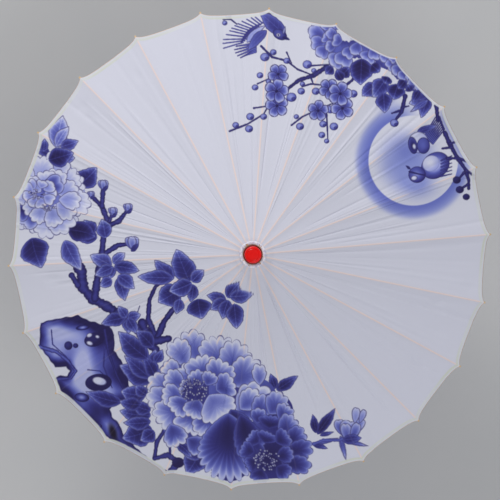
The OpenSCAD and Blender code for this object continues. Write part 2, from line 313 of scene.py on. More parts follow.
ROCK = (
    (-86.5, -30), (-80.5, -28.5), (-71, -27), (-65.5, -29.5), (-58, -31.5), (-56, -35), (-56, -41.5),
    (-53.5, -45), (-51.5, -48.5), (-49.5, -58), (-50, -62), (-54, -62), (-58, -66), (-57, -69), (-54, -72),
    (-52, -77), (-47, -82), (-40, -88), (-33.5, -92), (-36, -93), (-43, -89), (-52, -83), (-59, -77.5),
    (-67, -71), (-73.5, -64.5), (-78, -58), (-81, -53), (-78.5, -52), (-75.5, -52), (-74.5, -50),
    (-76, -48.3), (-80.5, -48.5), (-83.5, -44.5), (-87, -40))
ROCK_TONES = (                      # lighter and darker places: x, y, width, height, how much
    (-80, -38, 6, 6, 0.3), (-69, -50, 5, 6, 0.36), (-66, -58, 5, 4, 0.2), (-62, -36, 6, 5, -0.5),
    (-54, -52, 3.5, 9, -0.42), (-64, -67, 6, 5, -0.4), (-52, -80, 8, 5, -0.3), (-80, -48, 5, 3, -0.5),
    (-72, -31, 7, 2.5, -0.35), (-58, -45, 3, 7, -0.3), (-75, -60, 3, 3, -0.3))
ROCK_CREASES = (
    (((-82, -33), (-81.5, -39), (-76, -44), (-72.5, -49)), 0.5, 0.4, 0.1),
    (((-60, -33), (-58.5, -42), (-55, -52), (-51, -60)), 1.2, 0.8, 0.05),
    (((-60, -40), (-60.5, -48), (-57, -57)), 0.7, 0.4, 0.12),
    (((-67, -49.5), (-62, -50), (-59, -53)), 0.5, 0.3, 0.1))
ROCK_HOLES = (                      # x, y, half width, half height, turn, core, edge
    (-69, -32, 2.9, 1.1, 8, .75, .05), (-64.3, -37, 4.2, 2.9, 15, .1, 0),
    (-66.3, -35.2, 1.3, 0.9, 20, 1, .95), (-63, -35.8, 1.0, 0.7, -20, 1, .95),
    (-66.2, -38.5, 1.5, 0.9, -20, 1, .95), (-75, -39.5, 1.7, 1.8, 0, .2, .1),
    (-72, -39.5, 1.1, 1.0, 0, .25, .1), (-62.6, -54.8, 5.5, 3.6, 4, 0, 0),
    (-62.2, -54.2, 3.1, 1.7, -14, 1, .95), (-69.5, -61, 3.1, 1.9, -8, .7, .1),
    (-62.3, -73, 1.1, 0.9, 0, .3, .1))


def paint_rock():
    part, x, y = window(-90, -30, -96, -24)
    depth = outline(ROCK, x, y) + 0.25 * np.sin(x * 1.3) * np.sin(y * 1.1)
    flow = np.sin(0.33 * x + 0.18 * y + 1.6 * np.sin(0.13 * x - 0.2 * y) + 1.1)
    f = 0.2 + 0.46 * smooth(depth / 4.5) + 0.16 * flow
    for cx, cy, rx, ry, lift in ROCK_TONES:
        f = f + lift * np.exp(-((x - cx) / rx) ** 2 - ((y - cy) / ry) ** 2)
    lay(part, shade(np.clip(f, 0.02, 0.86)), np.clip(depth / CELL + 0.5, 0, 1))
    lay(part, INKS[0], smooth(1 - np.abs(depth - 0.3) / 0.5) * 0.8)
    stroke([(-87, -40), (-80, -42), (-75, -46), (-72, -50), (-74, -53), (-80, -53.5)], 1.8, 1.0,
           tone=0.12, light=0.4)
    for points, wide, thin, tone in ROCK_CREASES:
        stroke(points, wide, thin, tone=tone)
    discs(ROCK_HOLES)
    part, x, y = window(-62, -52, -84, -68)
    lay(part, BLACK, smooth(1.3 - np.hypot((x + 56.8 + (y + 75) * 0.25) / 1.9, (y + 75.5) / 4.2)))


# leaves: x and y of the foot, x and y of the tip, width, tone of the core
LEAVES = (
    (-79.5, 42, -77, 55.5, 7.5, .45), (-80, 42.5, -74.5, 51, 4.5, .5), (-82.5, 40, -88, 41, 4, .15),
    (-85, 40.5, -84.5, 46, 3.5, .2), (-78, 42.5, -70.5, 45, 4.5, .2), (-82.5, 37.5, -72, 38, 7, .15),
    (-71, 26.5, -63, 34, 8, .1), (-59.5, 5, -61, 13, 6, .25), (-63, 5, -74, 8, 7, .1),
    (-64.5, 6.5, -68.5, 12.5, 5.5, .15), (-90, 5, -86, -7.5, 11, .05), (-76.5, 4, -69.5, -8.5, 7, .3),
    (-57, -6.5, -66, -2, 6, .3), (-56.5, -5.5, -51.5, -1, 4.5, .35), (-56, -6.5, -45.5, -8.5, 5.5, .2),
    (-57, -6.5, -58, -12, 4.5, .2), (-56.5, -7, -64, -10.5, 5, .25), (-54.5, -11.5, -51.5, -21, 5.5, .2),
    (-54.5, -10.5, -47.5, -16, 5.5, .25), (-57, -12, -62, -15, 4.5, .25), (-25, -13, -30.5, 0.5, 9, .15),
    (-31.5, -12, -39.5, -4, 5.5, .2), (-31.5, -11.5, -46.5, -11, 6, .2), (-24, -13, -19, -8, 5, .25),
    (-29, -16, -38, -21.5, 9.5, .12), (-21.5, -20, -20, -28.5, 9.5, .08),
    (-29, -20, -30.5, -26.5, 4.5, .25), (-23.5, -14, -24.5, -21.5, 4.5, .15),
    (-24, -13.5, -33.5, -17, 7, .2), (-9.5, -19.5, -4.5, -13, 5.5, .2), (-8.5, -19, 1.5, -18, 5.5, .25),
    (-10, -20, -18, -18.5, 4.5, .2), (-9.5, -20.5, -16.5, -24.5, 5.5, .2),
    (-9, -20.5, -11.5, -28.5, 5.5, .2), (-6.5, -22, -5.5, -32.5, 7, .15),
    (-51.5, -28, -61.5, -30.5, 5.5, .15), (-51, -28, -54.5, -23, 4, .25),
    (-50.5, -28, -45, -26.5, 4.5, .25), (-50.5, -28.5, -50, -34.5, 4.5, .2),
    (-50.5, -28, -46.5, -34.5, 4.5, .2), (-40.5, -54.5, -54, -47.5, 8.5, .12),
    (-41, -53, -52, -43.5, 6, .15), (-39, -53, -44, -43.5, 5.5, .1), (-40, -46.5, -39, -41, 4.5, .2),
    (-39.5, -46.5, -36, -41, 4, .2), (-42, -45, -54.5, -33.5, 8, .12), (-40, -40, -47, -33, 6, .1))
ROCK_LEAVES = (
    (-53, -63, -68, -58.5, 5.5, .12), (-43, -60, -53.5, -58.5, 7, .15), (-42.5, -60, -47.5, -56, 4.5, .15),
    (-41, -68.5, -54, -66.5, 7, .12), (-41, -66.5, -49, -63.5, 5, .15), (-40.5, -74, -53, -78, 9, .08),
    (-39.5, -75, -45.5, -79, 5.5, .15), (-21, -84, -26.5, -93, 8, .12), (-19.5, -85, -28, -84, 4.5, .2),
    (-45, -64, -54, -62.5, 5, .1), (-41, -71, -52.5, -71.5, 5, .15), (-30, -80, -24, -86, 4, .15))
RIGHT_LEAVES = (
    (10.5, -57.5, 8.5, -51, 4, .1), (11, -58, 20, -52, 5, .08), (27.5, -76, 26, -68, 3.5, 0),
    (28, -76.5, 35.5, -65.5, 4.5, 0), (29, -77, 35, -75.5, 2, .15), (28, -80.5, 37, -78, 2, .3),
    (26, -80.5, 32.5, -82.5, 2.5, .1), (37.5, -77, 40, -87.5, 2.5, .3), (40, -79.5, 49.5, -81.5, 2, .3))
TOP_LEAVES = (
    (37.5, 71.5, 41, 75.5, 4.5, 0), (38, 70, 35.5, 74.5, 4, 0), (34, 75.5, 31, 72.5, 4, .1),
    (46, 79, 45.5, 68, 8.8, 0), (50, 76.5, 53.5, 73.5, 5.5, 0), (52, 68.5, 46, 63.5, 5.5, .15),
    (56, 70.5, 50.5, 63, 6.8, .2), (55, 65, 55.5, 56.5, 6.2, .15), (61, 68.5, 59, 62, 7, .05),
    (57, 71.5, 55.5, 68.5, 4.5, .05), (74, 63.5, 65.5, 60.5, 5.5, .25), (73.5, 63.5, 70.5, 54.5, 4.8, .15),
    (73.5, 62, 66, 57, 2.5, .3), (66.5, 65.5, 65, 68.5, 3.5, .05), (64, 70, 61, 66.5, 4, 0.02),
    (70, 66, 67, 61, 3.6, 0.05))
BANDS = (                           # petals like bands: foot, tip, width
    (31, 94, 25, 94.5, 4.5), (31, 88, 23.5, 91, 5), (31, 86, 24.5, 85, 5), (32, 84, 27.5, 79.5, 4.8),
    (34, 92, 29, 93.5, 4), (33, 87, 29.5, 88.5, 4), (36, 88, 31, 90.5, 4), (37, 91, 35, 94, 3.5),
    (35.5, 84, 30.5, 84, 4), (38, 86, 33.5, 87, 4.5), (38, 80, 32.5, 76.5, 6), (40, 82, 37, 75.5, 6.5),
    (43, 90, 40, 88.5, 3.5), (42, 84, 39, 79, 4.5), (45, 86, 42.5, 80, 4.5), (48, 88, 44, 86, 3.8),
    (50, 82, 47, 77.5, 5.5), (51, 84.5, 51.5, 78, 4.6), (47, 90, 45, 86.5, 3.2), (53, 85, 50, 83.5, 3),
    (55, 83, 52.5, 80.5, 3.2), (57, 82, 54, 77.5, 3.6), (60, 78, 56, 75, 4), (63, 76, 58.5, 72.5, 4.4),
    (60, 80, 57.5, 77.5, 3), (65, 74, 61, 70.5, 3.6), (68, 73, 64, 70, 3), (70, 71, 65, 67, 4),
    (72, 69, 68, 65.5, 3.2), (66, 76, 62.5, 74.5, 3), (75, 66, 71, 63.5, 3.2))
TWIGS = (                           # points, width
    (((31.5, 75.5), (26, 72), (20, 70), (15.5, 66.5)), 2.2),
    (((4.5, 84), (9, 79.5), (15, 78), (19.5, 74.5), (26, 72)), 1.0), (((15, 81.5), (17, 77)), .7),
    (((3, 68.5), (8.5, 71)), .7), (((25, 76), (32.5, 76.5)), .8),
    (((21.5, 67.5), (25, 68.5), (30, 68)), .9), (((25, 71), (26, 68.5)), .9),
    (((1.5, 58.5), (8, 59.5)), .8), (((-8.5, 49), (-1, 52), (5.5, 56), (7.5, 59.5)), .9),
    (((17, 51.5), (21.5, 55), (29, 58.5), (34, 60.5)), .8), (((31.5, 56), (32, 45.5)), .8),
    (((37.5, 66.5), (42, 70), (43, 72)), 1.4), (((64, 63.5), (62.5, 57), (59.5, 53)), 1.9),
    (((61.5, 57.5), (58.5, 56.5)), 1.2), (((63, 59), (65.5, 59.5)), 1), (((77, 59.5), (77.5, 53.5)), 2),
    (((-11, 95), (-8, 95), (-5.5, 93)), .8))
BUDS = (                            # x, y, radius
    (9.5, 81.5, 1.25), (6, 79.5, 1.75), (15, 78, 1.25), (23.5, 76.5, 1.75), (4, 72, 1.25), (7.5, 69.5, 1),
    (2, 67, 1.25), (21.5, 68.5, 1), (21, 65.5, 1.4), (27, 65.5, 1.5), (17, 63, 1.9), (42.5, 64.5, 1.6),
    (19, 55, 1), (20.5, 51, 1.5), (30, 52, 1.4), (34.5, 51, 1.6), (29.5, 47.5, 1.3), (31.5, 45, 1),
    (0, 55, 1.5), (5.5, 55, 1.3), (-6, 51.5, 1.25), (-.5, 50, 1.5), (33, 58, 1.6), (-9, 96.5, 1.2),
    (-10.5, 93.5, 1), (59.5, 52.5, 1.6), (26.2, 74, 1))
BLOSSOMS = (                        # x, y, radius, turn
    (11.5, 72.5, 3.8, .9), (11, 59.5, 4.2, .5), (10.8, 65.5, 4.4, .1), (32.5, 66.5, 3.8, 1),
    (38, 58.5, 4.2, .7), (28, 57.5, 3.8, .2), (37, 64.5, 4.4, 0))
BEHIND_BANDS = ((29, 91), (31, 86), (36, 82.5), (45, 83), (51, 81.5), (58, 77), (64, 71.5), (71, 65.5))


def paint_leaves(leaves, grow=1.0, bend=0.0, wave=0.0):
    for bx, by, tx, ty, wide, core in leaves:
        petal((bx, by), (tx, ty), wide * grow, core, leaf=True, bend=bend + wave * math.sin(bx))


def paint_top():
    for points, wide in TWIGS:
        stroke(points, wide)
    stroke(BEHIND_BANDS, 8.5, 4.5, tone=0.3)
    for i, (bx, by, tx, ty, wide) in enumerate(BANDS):
        petal((bx, by), (tx, ty), wide * 1.4, 0.34, 0.92, lobes=5, phase=i * 1.7)
    paint_leaves(TOP_LEAVES, 1.15)
    for x, y, r in BUDS:
        bud(x, y, r)
    for x, y, r, turn in BLOSSOMS:
        blossom(x, y, r, turn)


FEATHER_TIPS = ((-11, 83.1), (-11.2, 85.1), (-11, 86.7), (-9.8, 88.7), (-8.4, 90.3), (-7.6, 91.4),
                (-6.3, 92.4), (-5, 93.2), (-3.4, 94.2), (-1.4, 95), (.5, 95.6), (2.1, 95.9))
LOW_FEATHER_TIPS = ((-5.8, 83.9), (-6.4, 82.5), (-6, 81.2), (-5.2, 80), (-4, 79.2), (-2.4, 80))


def paint_top_bird():
    for i, tip in enumerate(FEATHER_TIPS):
        q = i / (len(FEATHER_TIPS) - 1)
        foot = (-3 + 8 * q, 85.5 + 8 * q)
        stroke([foot, tip], 0.62, 0.5, tone=0.12, rough=0, light=0.35)
    for i, tip in enumerate(LOW_FEATHER_TIPS):
        stroke([(2.2, 85.2 - i * 0.7), tip], 1.05, 0.5, tone=0.14, rough=0, light=0.4)
    petal((-1.5, 85.5), (6.5, 92.5), 3.4, 0.7, 1.0, leaf=True, bend=0.06)
    petal((-4, 85), (6, 93.8), 1.6, 0.15, 0.6, leaf=True, bend=0.1)
    petal((6.8, 90.5), (-1, 82), 4.4, 0.35, 0.7, leaf=True, bend=-0.05)
    petal((14.5, 88.5), (3.6, 98.2), 6.4, 0.28, 0.75, leaf=True)
    stroke([(4.5, 97.8), (9.5, 97.3)], 0.8, 0.3)
    disc(12.2, 88.8, 3.1, 2.1, -28, core=0.45, edge=0.25)
    disc(11.6, 88.6, 1.0, 0.8, core=1, edge=0.9)
    disc(11.6, 88.6, 0.35, core=0, edge=0, line=0)
    petal((13.2, 87.8), (16.4, 86.6), 1.4, 0.0, 0.2, leaf=True)
    petal((13.5, 89), (14.5, 92.3), 1.2, 0.7, 1.0, leaf=True)


MOON_BOUGH = ((80.5, 48.5), (82.5, 44), (85.5, 38.5), (89, 33.5), (90.5, 29), (90.5, 25.5))
MOON_TWIGS = (
    ((81.5, 38), (86.5, 38), (91, 36)), ((89.5, 33), (93, 30.5)), ((88.5, 32), (86, 29)),
    ((90, 27), (86.5, 25)), ((83.5, 42.5), (79.5, 42)), ((78, 55), (80, 50)), ((82.5, 44), (86, 45)))
MOON_BUDS = ((85.5, 29, 1.7), (86.8, 25, 1.7), (89.5, 22, 1.5), (93.2, 30, 1.2), (59.6, 52.4, 1.7))
TAIL_FEATHERS = 9
WING_FEATHERS = 6


def paint_moon_birds():
    for i in range(TAIL_FEATHERS):
        q = i / (TAIL_FEATHERS - 1)
        stroke([(72 + 3.5 * q, 47 - 3 * q), (76.5 + 3.8 * q, 54.8 - 5 * q)], 0.85, 0.45,
               tone=0.02, rough=0, light=0.5)
    petal((69, 49), (77.5, 51.5), 3.2, 0.2, 0.9, leaf=True)
    disc(69.5, 44.5, 4.2, 4.4, 0, core=0.95, edge=0.85)
    disc(67.2, 43.3, 1.9, 3.6, 12, core=0.1, edge=0.35)
    disc(67.8, 42.8, 0.8, 1.3, 12, core=1, edge=0.9)
    disc(71.6, 43.2, 2.7, 3.4, 0, core=0.5, edge=0.35)
    disc(76.6, 35, 6.3, 5.2, 38, core=0.95, edge=0.3)
    disc(74.8, 35.8, 3.6, 3.2, 30, core=1.0, edge=0.85, line=0.2)
    for i in range(WING_FEATHERS):
        stroke([(79, 30.5 + i * 1.3), (83.4, 31.5 + i * 1.5)], 0.7, 0.4, tone=0.0, rough=0, light=0.4)
    disc(69, 31.2, 3.6, 3.4, 10, core=0.65, edge=0.3)
    stroke([(65.8, 32.4), (69, 31.6), (72, 31)], 0.8, 0.5, tone=0.0, rough=0)
    disc(67.8, 29.8, 1.4, 1.0, 10, core=1, edge=0.9)
    petal((66.3, 33.4), (64.2, 35), 1.1, 0.0, 0.2, leaf=True)
    stroke(MOON_BOUGH, 2.0, 1.3)
    for points in MOON_TWIGS:
        stroke(points, 1.3, 0.9)
    for x, y, r in MOON_BUDS:
        disc(x, y, r, r * 0.9, core=0.1, edge=0.05)


TRUNKS = (                          # points, width at the foot and at the end
    (((-73, -3), (-69.5, -9), (-69, -15.5), (-65, -20), (-59.5, -23), (-54.5, -26)), 4.6, 3.8),
    (((-54.5, -26), (-47.5, -31.5), (-43, -37), (-39, -41)), 4.0, 3.4),
    (((-73.5, -10.5), (-71, -14.5)), 2.4, 2.4),
    (((-64, -20), (-63, -12), (-61, -.5), (-60, 7.5)), 3.4, 2.0),
    (((-60, -1.5), (-54.5, 2), (-50.5, 2.5)), 2.4, 1.8),
    (((-39, -35.5), (-42, -28.5), (-41.5, -20.5), (-39, -15), (-36, -13)), 2.6, 1.2),
    (((-38.5, -37), (-35.5, -29.5), (-31.5, -24)), 3.0, 2.0),
    (((-44.5, -30), (-41, -38), (-33.5, -36.5)), 3.6, 3.0),
    (((-58.5, 11.5), (-61, 18), (-65.5, 22.5)), 2.6, 1.6), (((-61, 18), (-60.5, 25.5)), 2.2, 1.8),
    (((-58.5, 10.5), (-56.5, 15.5)), 1.8, 1.4), (((-58.5, 10), (-54, 12), (-50.5, 16.5)), 2.4, 1.6),
    (((-61, -1.5), (-60.5, 5), (-58.5, 10.5)), 2.4, 2.0), (((-47, -27.5), (-45.5, -23)), 0.5, 0.3),
    (((-35.5, -75), (-38.5, -79.5), (-39.5, -86.5)), 1.8, 1.6), (((-33.5, -76.5), (-33, -84.5)), 1.2, 1.0),
    (((-39.5, -86.5), (-34, -85), (-29.5, -88), (-32.5, -91.5)), 1.8, 3.0))
TRUNK_BUDS = ((-60.5, 27, 1.7), (-65.5, 23, 1.2), (-56.5, 16, 1.5), (-50.3, 17.6, 1.5), (-48.6, 3.2, 2.2))


def paint_trunks():
    for points, wide, thin in TRUNKS:
        stroke(points, wide, thin, tone=0.03, light=0.26)
    disc(-29.7, -88.2, 2.6, 2.2, core=0.0, edge=0.0)
    for x, y, r in TRUNK_BUDS:
        for lean, core in ((-0.9, 0.2), (0.9, 0.3), (0, 0.5)):
            petal((x, y - 1.4 * r), (x + lean * r, y + (1.3 + 0.4 * core) * r), 1.7 * r, core, 1.0, lobes=2)
        petal((x - 0.2 * r, y - 1.7 * r), (x + 1.3 * r, y - 0.2 * r), 1.1 * r, 0.1, 0.6, leaf=True)


# petals: x and y of the foot, x and y of the tip, width, core, edge, lobes
# the big pale peony, the petals at its back first
BACK_PETALS = 16
LIGHT_PETALS = (
    (-21, -47, -25.5, -32, 8.5, .42, .95, 5), (-26, -48, -32, -36, 8, .45, .97, 5),
    (-14, -50, -11.5, -35, 14, .38, .92, 7), (-10, -52, -3, -37.5, 11, .4, .92, 6),
    (-8, -56, 4.5, -45.5, 11, .35, .93, 6), (-29, -52, -37, -48, 8.5, .42, .96, 5),
    (-31, -56, -43, -56, 9, .42, .96, 5), (-31, -60, -42.5, -64.5, 10.5, .4, .93, 5),
    (-27, -64, -39, -72, 11.5, .35, .93, 6), (-22, -66, -26, -77, 12, .3, .93, 6),
    (-17, -66, -18, -78, 10.5, .22, .9, 6), (-5, -70, 8, -56, 13, .3, .9, 5),
    (-4, -66, 4, -58, 8, .4, .95, 5), (4, -56, 3.6, -46.5, 5, .45, .98, 4),
    (-33, -72, -29, -82, 8, .25, .9, 5), (-26, -78, -18, -84, 7, .2, .85, 5),
    (-22, -55, -29, -47, 9, .38, .9, 5), (-19, -54, -21, -43, 12, .3, .88, 6),
    (-15, -56, -10, -45, 10.5, .3, .88, 6), (-27, -56, -36, -52, 8, .36, .92, 5),
    (-28, -60, -37, -60, 8.5, .36, .92, 5), (-26, -62, -33, -67, 8.5, .3, .92, 5),
    (-14, -58, -6, -54, 9.5, .25, .85, 5), (-21, -62, -24.5, -70, 8.5, .3, .92, 5),
    (-17, -60, -10, -70.5, 13, .5, .93, 6), (-20, -57, -24, -49.5, 6.5, .3, .85, 5),
    (-18, -56, -15.5, -50, 6, .3, .85, 5), (-24, -58, -29.5, -55.5, 5.5, .3, .88, 5))
# the fan petal and the dark peony beside it
DARK_PETALS = (
    (-8, -66, -2, -78, 9, .05, .7, 5), (-9, -67.5, -9.5, -97, 21, .02, .86, 13),
    (-4, -68, 3, -90, 11, .0, .6, 7), (2, -70, 8, -60, 8, .3, .9, 5), (8, -68, 14, -59, 9, .35, .92, 5),
    (12, -70, 16.5, -64, 7, .3, .9, 5), (3, -72, 4, -65, 6, .2, .85, 4), (8, -74, 9, -68, 9, .02, .55, 5),
    (12, -76, 20, -70, 9, .25, .85, 5), (14, -80, 24, -76, 8.5, .12, .75, 5),
    (14, -84, 27, -82, 7.5, .08, .7, 5), (13, -88, 26, -90, 7, .08, .7, 5),
    (4, -80, -1, -76.5, 7, .1, .7, 5), (2, -84, -4.5, -82, 6.5, .08, .65, 5),
    (6, -80, 8, -75, 8, .05, .6, 5), (11, -80, 16.5, -76, 7.5, .08, .65, 5),
    (11, -86, 18.5, -84, 6.5, .08, .65, 5), (3, -88, -2, -90, 6.5, .05, .6, 5),
    (11, -90, 17, -94, 6.5, .08, .65, 5), (5, -91, 3, -97, 7, .05, .6, 5))


def paint_peonies():
    grounds(((-85, 23, 17, 15),), 0.55, 0.8)
    ring_of_petals(-84.5, 23, 20, 17.5, 12, 12, .74, 1.1, 31, lobes=11, start=.2)
    petal((-83, 37), (-72.5, 40), 8.5, .02, .85, leaf=True)
    petal((-75, 8.5), (-63.5, 5.5), 9, .0, .6, leaf=True, bend=0.05)
    petal((-88, 20), (-94, 9), 11, .25, .9, lobes=5)
    petal((-84, 17), (-73, 8), 13, .6, 1.1, lobes=9)
    petal((-92, 18), (-96.5, 13), 8, .1, .8, lobes=4)
    ring_of_petals(-83, 21.5, 14, 12, 10, 9, .66, 1.1, 32, lobes=9, start=.5)
    petal((-86, 24), (-76.5, 29), 9, .2, .85, lobes=4)
    ring_of_petals(-87, 23.5, 8, 6.5, 9, 6, .6, 1.1, 33, lobes=5)
    stamens(-88, 22.8, 3.3, 2.2, 22, 5)
    stamens(-83.5, 17.3, 2.6, 1.6, 12, 6)
    grounds(((-23, -57, 17, 15), (-7, -58, 10, 12), (-24, -73, 12, 7), (3, -61, 8, 8)), 0.3, 0.42)
    for i, (bx, by, tx, ty, wide, core, edge, lobes) in enumerate(LIGHT_PETALS):
        grow = 1.35 if i < BACK_PETALS else 1.3
        petal((bx, by), (tx, ty), wide * grow, core + 0.04, edge + 0.14, lobes=lobes * 2, phase=tx)
    part, x, y = window(-34, -12, -68, -46)
    lay(part, shade(np.full(x.shape, 0.2)), 0.75 * np.exp(-(np.hypot(x + 23, y + 58) / 4.6) ** 4))
    stamens(-23, -58, 5.6, 5.2, 70, 7)
    grounds(((9, -82, 15, 13), (-8, -84, 10, 12), (10, -67, 8, 8)), 0.1, 0.3)
    for bx, by, tx, ty, wide, core, edge, lobes in DARK_PETALS:
        petal((bx, by), (tx, ty), wide * 1.25, core, edge, lobes=lobes * 2, phase=ty)
    part, x, y = window(-4, 18, -98, -76)
    lay(part, shade(np.full(x.shape, 0.04)), 0.9 * np.exp(-(np.hypot((x - 7) / 5.6, (y + 87) / 5)) ** 4))
    stamens(7, -87, 5.4, 4.6, 60, 8)


ROSE_PETALS = (
    (39, -78, 48.8, -69.5, 5, .4, .95, 3), (38.5, -77, 36.5, -69.5, 5, .35, .95, 3),
    (41, -80, 42, -70, 9.5, .25, .9, 4), (40.5, -79.5, 39.5, -71, 5, .45, .95, 3),
    (42, -79, 45.5, -71, 4.4, .4, .95, 3), (43.5, -72, 44.5, -64.5, 3.8, .65, 1.0, 3),
    (45.5, -72, 48, -65.5, 3, .6, 1.0, 3))


def paint_rose():
    stroke([(26.5, -80.5), (30.5, -79), (37, -79), (41, -77.5)], 1.4, 1.2, tone=0.3)
    for bx, by, tx, ty, wide, core, edge, lobes in ROSE_PETALS:
        petal((bx, by), (tx, ty), wide, core, edge, lobes=lobes)
    petal((38.5, -79), (46.5, -78), 4.6, .2, .75, leaf=True)


def paint_print():
    paint_moon()
    paint_rock()
    paint_trunks()
    paint_leaves(LEAVES, 1.12, wave=0.04)
    paint_leaves(ROCK_LEAVES, 1.2, bend=0.05)
    paint_leaves(RIGHT_LEAVES)
    paint_peonies()
    paint_rose()
    paint_moon_birds()
    paint_top()
    paint_top_bird()


PRINT_TURN = math.radians(4.45)     # the print's axes, turned from the frame's
PRINT_LEAN = (1.04, -1.67)          # how far the print's middle sits off the shaft
PRINT_GROW = 0.04                   # and how much smaller it gets towards the middle
PRINT_FOOT = 0.315                  # heights between which it leans and grows
PRINT_TOP = 0.490


def print_at(p):
    """The print's colour at points of the canopy, and how much ink is there."""
    height = (p[..., 2] - PRINT_FOOT) / (PRINT_TOP - PRINT_FOOT)
    grow = (1 + PRINT_GROW * height) * 100 / CANOPY_R
    c, s = math.cos(PRINT_TURN), math.sin(PRINT_TURN)
    x = (p[..., 0] * c + p[..., 1] * s) * grow + PRINT_LEAN[0] * height
    y = (-p[..., 0] * s + p[..., 1] * c) * grow + PRINT_LEAN[1] * height
    cx = np.clip((x + SPAN) / CELL - 0.5, 0, SIDE - 2)
    cy = np.clip((y + SPAN) / CELL - 0.5, 0, SIDE - 2)
    ix, iy = cx.astype(int), cy.astype(int)
    fx, fy = (cx - ix)[..., None], (cy - iy)[..., None]
    low = canvas[iy, ix] * (1 - fx) + canvas[iy, ix + 1] * fx
    high = canvas[iy + 1, ix] * (1 - fx) + canvas[iy + 1, ix + 1] * fx
    colour = low * (1 - fy) + high * fy
    ink = np.clip(np.abs(colour - WHITE).max(-1) * 6, 0, 1)
    return colour, ink


paint_print()

# ---------------- the cloth's shape


def on_rib(azimuth, s):
    """The cloth over a rib, s along it from its hinge."""
    n = CLOTH_LIFT + HUB_LIFT * (1 - smooth((s - HUB_LIFT_FROM) / HUB_LIFT_LEN))
    r = PIVOT_R + s * math.sin(OPEN) + n * math.cos(OPEN)
    z = PIVOT_Z - s * math.cos(OPEN) + n * math.sin(OPEN)
    return np.stack([r * math.cos(azimuth), r * math.sin(azimuth), z + 0 * r], -1)


def half_width(s):
    """Half the distance between two ribs, s along them, at the cloth."""
    return (PIVOT_R + s * math.sin(OPEN) + CLOTH_LIFT * math.cos(OPEN)) * ACROSS


def straight_out(azimuth):
    """The direction straight out of the open canopy."""
    return (math.cos(OPEN) * math.cos(azimuth), math.cos(OPEN) * math.sin(azimuth), math.sin(OPEN))


def cloth_end(x):
    """How far along the ribs the rim is, for x from -1 at one rib to 1 at the next."""
    return CLOTH_END - RIM_BOW * (1 - np.abs(x) ** EAR_POWER)


MM = 1e-3
WRINKLES = 5                        # on each half of a panel
WRINKLE_WIDTH = (0.035, 0.08)       # shares of half a panel
WRINKLE_HEIGHT = (0.28, 0.98)       # millimetres
DENTS = 2
DENT_HEIGHT = (-1.6, 0.8)           # millimetres
TAUT_SHARE = 0.12                   # wrinkles come in over this share beside a strip
MIDDLE_SHARE = 0.07                 # and stay this far from the panel's middle, so that its halves meet
SLANT_FROM = 0.25                   # along the rib, where a slanting wrinkle is at its own place


class Panel:
    """The cloth between rib k and the next one, as one surface in x (-1 to 1, rib to rib) and s."""

    def __init__(self, k):
        self.fine = k not in PLAIN_PANELS
        self.a0 = FIRST_RIB + k * STEP
        self.a1 = self.a0 + STEP
        self.normal = np.array(straight_out((self.a0 + self.a1) / 2))
        rng = np.random.default_rng(400 + k)
        self.wrinkles = []
        for side in (-1, 1):
            for _ in range(WRINKLES):
                self.wrinkles.append((side * rng.uniform(0.16, 0.9), rng.uniform(*WRINKLE_WIDTH),
                                      rng.uniform(*WRINKLE_HEIGHT) * MM * rng.choice((-1, 1)),
                                      rng.uniform(0.0, 0.22), rng.uniform(0.28, 0.46),
                                      rng.uniform(-0.12, 0.12)))
        self.dents = [(rng.choice((-1, 1)) * rng.uniform(0.3, 0.7), rng.uniform(0.33, 0.41),
                       rng.uniform(0.1, 0.22), rng.uniform(0.008, 0.02), rng.uniform(*DENT_HEIGHT) * MM)
                      for _ in range(DENTS)]

    def at(self, s, x):
        """Points for arrays s and x; the strips beside the ribs are flat and the middle is level across."""
        left, right = on_rib(self.a0, s), on_rib(self.a1, s)
        flat = left + (right - left) * ((1 + x) / 2)[..., None]
        half = np.linalg.norm(right - left, axis=-1) / 2
        strip = STRIP_HALF / half
        f = np.clip((1 - np.abs(x) - strip) / np.clip(1 - strip, 0.05, None), 0, 1)
        bow = -PANEL_SAG * (s / CLOTH_END) * (1 - (1 - f) ** 2)
        free = smooth(f / TAUT_SHARE) * (1 - np.exp(-(x / MIDDLE_SHARE) ** 2))
        for x0, w, height, s0, s1, slant in self.wrinkles:
            lane = x0 + slant * (s - SLANT_FROM) / SLANT_FROM
            run = smooth((s - s0) / 0.07 + 0.3) * smooth((s1 - s) / 0.06 + 0.4)
            bow = bow + free * height * run * np.exp(-((x - lane) / w) ** 2)
        for x0, s0, w, long, height in self.dents:
            bow = bow + free * height * np.exp(-((x - x0) / w) ** 2 - ((s - s0) / long) ** 2)
        return flat + bow[..., None] * self.normal


def rows(fine):
    """Places along the ribs, closer together where there is print, and always close at the hem."""
    if fine:
        inner = np.arange(CLOTH_START, FINE_FROM, COARSE)
        outer = np.linspace(FINE_FROM, CLOTH_END, int((CLOTH_END - FINE_FROM) / FINE))
        share = np.concatenate([inner, outer])
    else:
        share = np.concatenate([np.arange(CLOTH_START, CLOTH_END - HEM * 1.6, COARSE),
                                np.linspace(CLOTH_END - HEM * 1.5, CLOTH_END, 10)])
    return (share - CLOTH_START) / (CLOTH_END - CLOTH_START)


PEACH = np.array((232, 213, 209)) / 255
HEM_WHITE = np.array((214, 216, 222)) / 255
HEM_GREEN = np.array((205, 209, 196)) / 255
EDGE_ORANGE = np.array((214, 178, 150)) / 255
SEEN_TO_CLOTH = 1.14                # cloth colour for a colour seen on it, in linear light
PALEST = 0.92
HEM_BLUR = 0.0012
EDGE_WIDTH = 0.0011                 # the orange line along the rim
EDGE_BLUR = 0.0006


def to_linear(c):
    return np.where(c <= 0.04045, c / 12.92, ((c + 0.055) / 1.055) ** 2.4)


def hem_width(azimuth):
    """The print runs closer to the rim at the top right."""
    return HEM - 0.0045 * np.exp(-((np.degrees(azimuth) % 360 - 62) / 26) ** 2)


